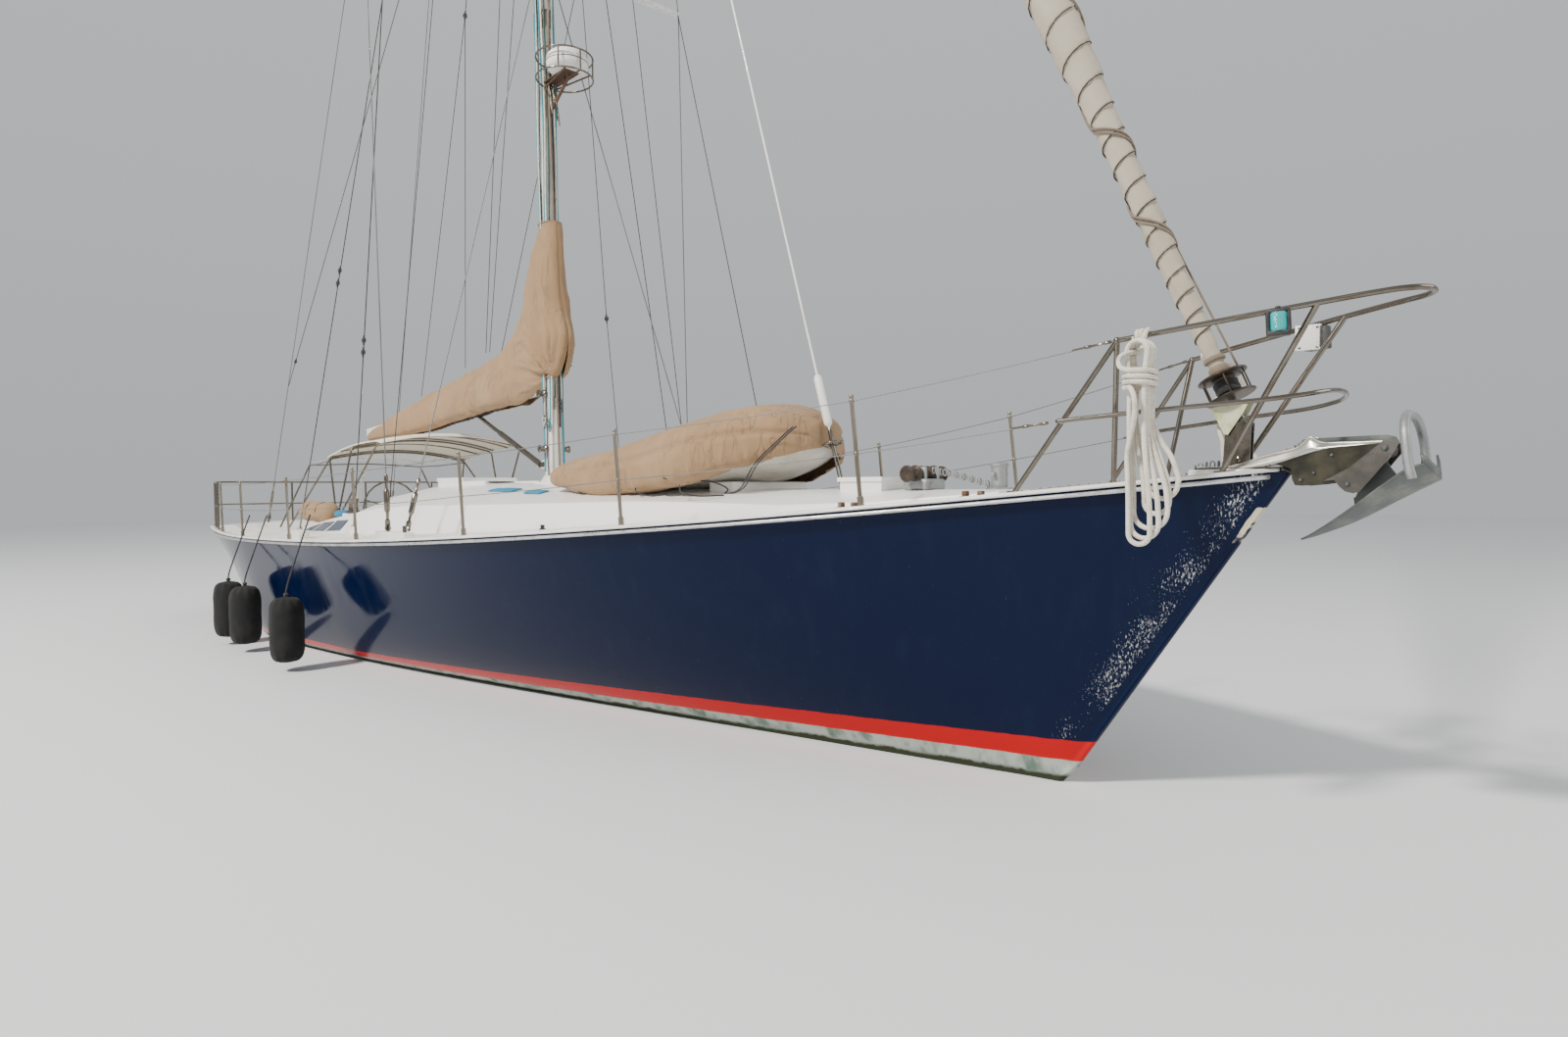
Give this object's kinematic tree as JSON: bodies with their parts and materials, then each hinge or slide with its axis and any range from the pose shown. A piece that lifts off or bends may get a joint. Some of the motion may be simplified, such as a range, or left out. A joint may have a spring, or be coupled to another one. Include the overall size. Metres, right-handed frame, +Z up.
{
  "type": "sailing yacht",
  "caption": "Ocean-cruising sailing yacht afloat: single mast, furled headsail, covered mainsail on its boom, aft cockpit with wheel and awning, dinghy on the foredeck.",
  "frame": {"origin": "middle of the waterline on the centreline, at the water's surface", "axes": "+X to the bow, +Y to port, +Z up"},
  "size_m": [16.352, 4.86, 22.04],
  "materials": {
    "topsides_paint": "gloss, near-black blue",
    "white_gelcoat": "semi-gloss",
    "antifouling": "matt, stained",
    "stainless_steel": "polished, weathered",
    "galvanised_steel": "dull grey",
    "aluminium": "satin",
    "white_spar": "semi-gloss white",
    "bronze": "dull",
    "tan_canvas": "woven",
    "cream_canvas": "woven",
    "sailcloth": "woven",
    "rope": "laid rope",
    "black_plastic": "matt black",
    "black_rubber": "matt black",
    "tinted_glass": "tinted",
    "acrylic": "tinted acrylic"
  },
  "bodies": {
    "boat": {"hull_fore": "topsides_paint", "hull_midships": "topsides_paint", "hull_cockpit": "topsides_paint", "hull_stern": "topsides_paint", "rub_rail_starboard": "aluminium", "rub_rail_port": "aluminium", "keel": "antifouling", "skeg": "antifouling", "shaft_strut": "bronze", "engine": "galvanised_steel", "coachroof": "white_gelcoat", "foredeck_trunk": "white_gelcoat", "washboards": "acrylic", "coaming_starboard": "white_gelcoat", "coaming_port": "white_gelcoat", "mast": "white_spar", "lower_spreaders": "white_spar", "upper_spreaders": "white_spar", "cap_shroud_starboard": "stainless_steel", "cap_shroud_port": "stainless_steel", "lower_shroud_starboard": "stainless_steel", "lower_shroud_port": "stainless_steel", "backstay_starboard": "stainless_steel", "backstay_port": "stainless_steel", "mast_boot": "tan_canvas", "radar_bracket": "stainless_steel", "radome": "white_gelcoat", "tack_fitting": "stainless_steel", "inner_forestay": "stainless_steel", "pulpit": "stainless_steel", "bow_platform": "stainless_steel", "anchor": "galvanised_steel", "windlass": "galvanised_steel", "mooring_bitt": "galvanised_steel", "guardrail_starboard": "stainless_steel", "guardrail_port": "stainless_steel", "pushpit": "stainless_steel", "dinghy_cover": "tan_canvas", "dinghy_hull": "white_gelcoat", "helm_pedestal": "white_gelcoat", "awning": "cream_canvas", "awning_frame": "stainless_steel", "fender_a": "black_rubber", "fender_b": "black_rubber", "fender_c": "black_rubber", "rope_hank_starboard": "rope", "rope_hank_port": "rope"},
    "rudder_body": {"rudder": "antifouling"},
    "wheel_body": {"helm_wheel": "stainless_steel"},
    "propeller_body": {"propeller": "bronze"},
    "boom_body": {"boom": "white_spar", "vang": "aluminium", "sail_cover": "tan_canvas"},
    "headsail_body": {"headsail_roll": "sailcloth", "furler_drum": "black_plastic"},
    "winch_starboard_body": {"winch_drum_starboard": "stainless_steel"},
    "winch_port_body": {"winch_drum_port": "stainless_steel"},
    "companionway_body": {"companionway_hatch": "white_gelcoat"},
    "roof_hatch_body": {"roof_hatch_lid": "acrylic"},
    "fore_hatch_body": {"fore_hatch_lid": "acrylic"}
  },
  "joints": [
    {"name": "rudder_turn", "type": "hinge", "parent": "boat", "child": "rudder_body", "pos_m": [-5.56, 0, 0], "axis": [0, 0, 1], "range_deg": [-35, 35]},
    {"name": "helm_turn", "type": "hinge", "parent": "boat", "child": "wheel_body", "pos_m": [-4.7, 0, 1.64], "axis": [1, 0, 0], "range_deg": [-350, 350]},
    {"name": "propeller_spin", "type": "hinge", "parent": "boat", "child": "propeller_body", "pos_m": [-4.64, 0, -0.75], "axis": [0.9903, 0, 0.1392], "continuous": true},
    {"name": "boom_swing", "type": "hinge", "parent": "boat", "child": "boom_body", "pos_m": [-0.11, 0, 3.09], "axis": [0, 0, 1], "range_deg": [-75, 75]},
    {"name": "headsail_furl", "type": "hinge", "parent": "boat", "child": "headsail_body", "pos_m": [7.449, 0, 2.2], "axis": [-0.3951, 0, 0.9186], "continuous": true},
    {"name": "winch_starboard_turn", "type": "hinge", "parent": "boat", "child": "winch_starboard_body", "pos_m": [-2.7, -1.225, 1.65], "axis": [0, 0, 1], "continuous": true},
    {"name": "winch_port_turn", "type": "hinge", "parent": "boat", "child": "winch_port_body", "pos_m": [-2.7, 1.225, 1.65], "axis": [0, 0, 1], "continuous": true},
    {"name": "companionway_slide", "type": "slide", "parent": "boat", "child": "companionway_body", "axis": [1, 0, 0], "range_m": [0, 0.6]},
    {"name": "roof_hatch_lift", "type": "hinge", "parent": "boat", "child": "roof_hatch_body", "pos_m": [0.935, 0, 2.0229], "axis": [0, 1, 0], "range_deg": [0, 85]},
    {"name": "fore_hatch_lift", "type": "hinge", "parent": "boat", "child": "fore_hatch_body", "pos_m": [5.065, 0, 1.9455], "axis": [0, 1, 0], "range_deg": [0, 85]}
  ],
  "couplings": [
    {"joint": "helm_turn", "follows": "rudder_turn", "ratio": 10}
  ]
}
